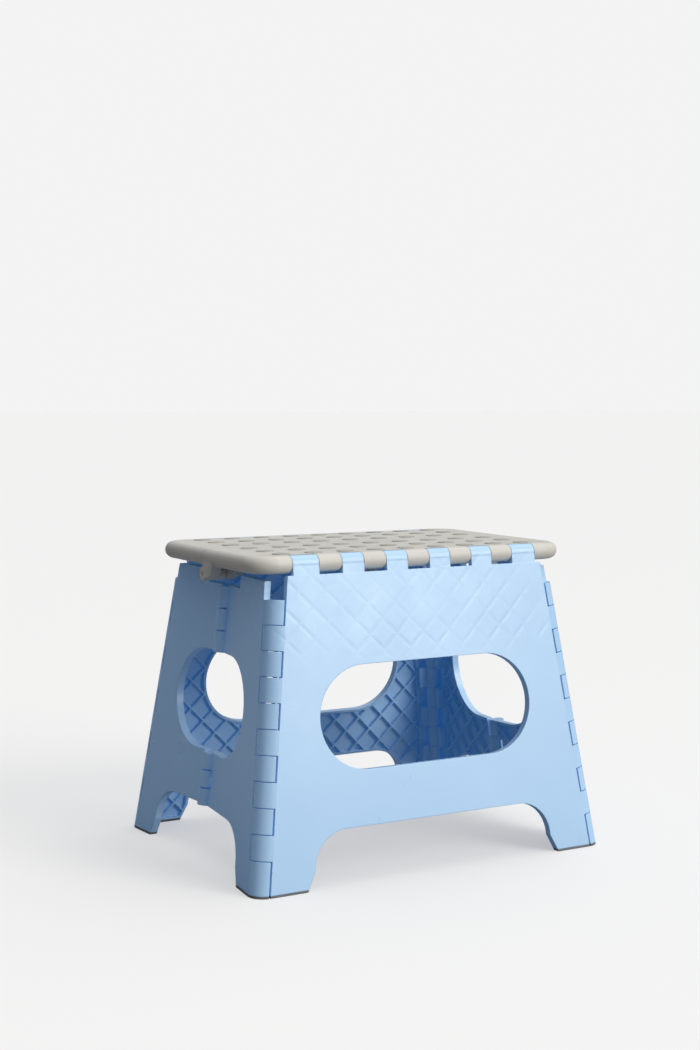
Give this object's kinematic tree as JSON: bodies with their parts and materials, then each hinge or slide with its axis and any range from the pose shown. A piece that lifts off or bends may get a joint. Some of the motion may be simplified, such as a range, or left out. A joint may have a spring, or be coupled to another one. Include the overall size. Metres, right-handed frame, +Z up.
{
  "type": "folding step stool",
  "caption": "Low folding step stool: a split dotted top plate on hinged ribbed panels that fold flat, with oval hand openings and arched feet.",
  "frame": {"origin": "centre of the footprint on the floor", "axes": "+X along the long side of the stool (to the right seen from the front), -Y towards the front, +Z up"},
  "size_m": [0.28, 0.22, 0.22],
  "materials": {
    "panel_blue": "satin moulded polypropylene, baby blue",
    "plate_tan": "fine-grained moulded polypropylene, warm grey-beige",
    "grip_dots": "soft anti-slip elastomer, a little darker than the plate",
    "foot_pads": "dark grey anti-slip elastomer",
    "pins": "plain drawn steel wire"
  },
  "bodies": {
    "front_panel": {"front_panel": "panel_blue", "front_foot_pads": "foot_pads", "corner_right_front_pin": "pins", "corner_left_front_pin": "pins", "top_front_pin": "pins"},
    "back_panel": {"back_panel": "panel_blue", "back_foot_pads": "foot_pads", "corner_right_back_pin": "pins", "corner_left_back_pin": "pins", "top_back_pin": "pins"},
    "top_front": {"top_front": "plate_tan", "top_front_dots": "grip_dots", "top_centre_pins": "pins"},
    "top_back": {"top_back": "plate_tan", "top_back_dots": "grip_dots"},
    "side_right_front": {"side_right_front": "panel_blue", "side_right_front_pad": "foot_pads", "side_right_pins": "pins"},
    "side_right_back": {"side_right_back": "panel_blue", "side_right_back_pad": "foot_pads"},
    "side_left_front": {"side_left_front": "panel_blue", "side_left_front_pad": "foot_pads", "side_left_pins": "pins"},
    "side_left_back": {"side_left_back": "panel_blue", "side_left_back_pad": "foot_pads"}
  },
  "joints": [
    {"name": "fold", "type": "hinge", "parent": "front_panel", "child": "top_front", "pos_m": [0, -0.07583, 0.2136], "axis": [1, 0, 0], "range_deg": [0, 78.72]},
    {"name": "top_centre_hinge", "type": "hinge", "parent": "top_front", "child": "top_back", "pos_m": [0, 0, 0.202], "axis": [1, 0, 0], "range_deg": [-172.45, 0]},
    {"name": "top_back_hinge", "type": "hinge", "parent": "top_back", "child": "back_panel", "pos_m": [0, 0.07583, 0.2136], "axis": [1, 0, 0], "range_deg": [0, 78.73]},
    {"name": "corner_right_front_hinge", "type": "hinge", "parent": "front_panel", "child": "side_right_front", "pos_m": [0.12891, -0.09891, 0], "axis": [-0.1277, 0.1295, 0.9833], "range_deg": [0, 85.46]},
    {"name": "corner_left_front_hinge", "type": "hinge", "parent": "front_panel", "child": "side_left_front", "pos_m": [-0.12891, -0.09891, 0], "axis": [0.1277, 0.1295, 0.9833], "range_deg": [-85.46, 0]},
    {"name": "corner_right_back_hinge", "type": "hinge", "parent": "back_panel", "child": "side_right_back", "pos_m": [0.12891, 0.09891, 0], "axis": [-0.1277, -0.1295, 0.9833], "range_deg": [-85.46, 0]},
    {"name": "corner_left_back_hinge", "type": "hinge", "parent": "back_panel", "child": "side_left_back", "pos_m": [-0.12891, 0.09891, 0], "axis": [0.1277, -0.1295, 0.9833], "range_deg": [0, 85.46]}
  ],
  "couplings": [
    {"joint": "top_centre_hinge", "follows": "fold", "ratio": -2.1906},
    {"joint": "top_back_hinge", "follows": "fold", "ratio": 1},
    {"joint": "corner_right_front_hinge", "follows": "fold", "ratio": 1.0855},
    {"joint": "corner_left_front_hinge", "follows": "fold", "ratio": -1.0855},
    {"joint": "corner_right_back_hinge", "follows": "fold", "ratio": -1.0855},
    {"joint": "corner_left_back_hinge", "follows": "fold", "ratio": 1.0855}
  ]
}
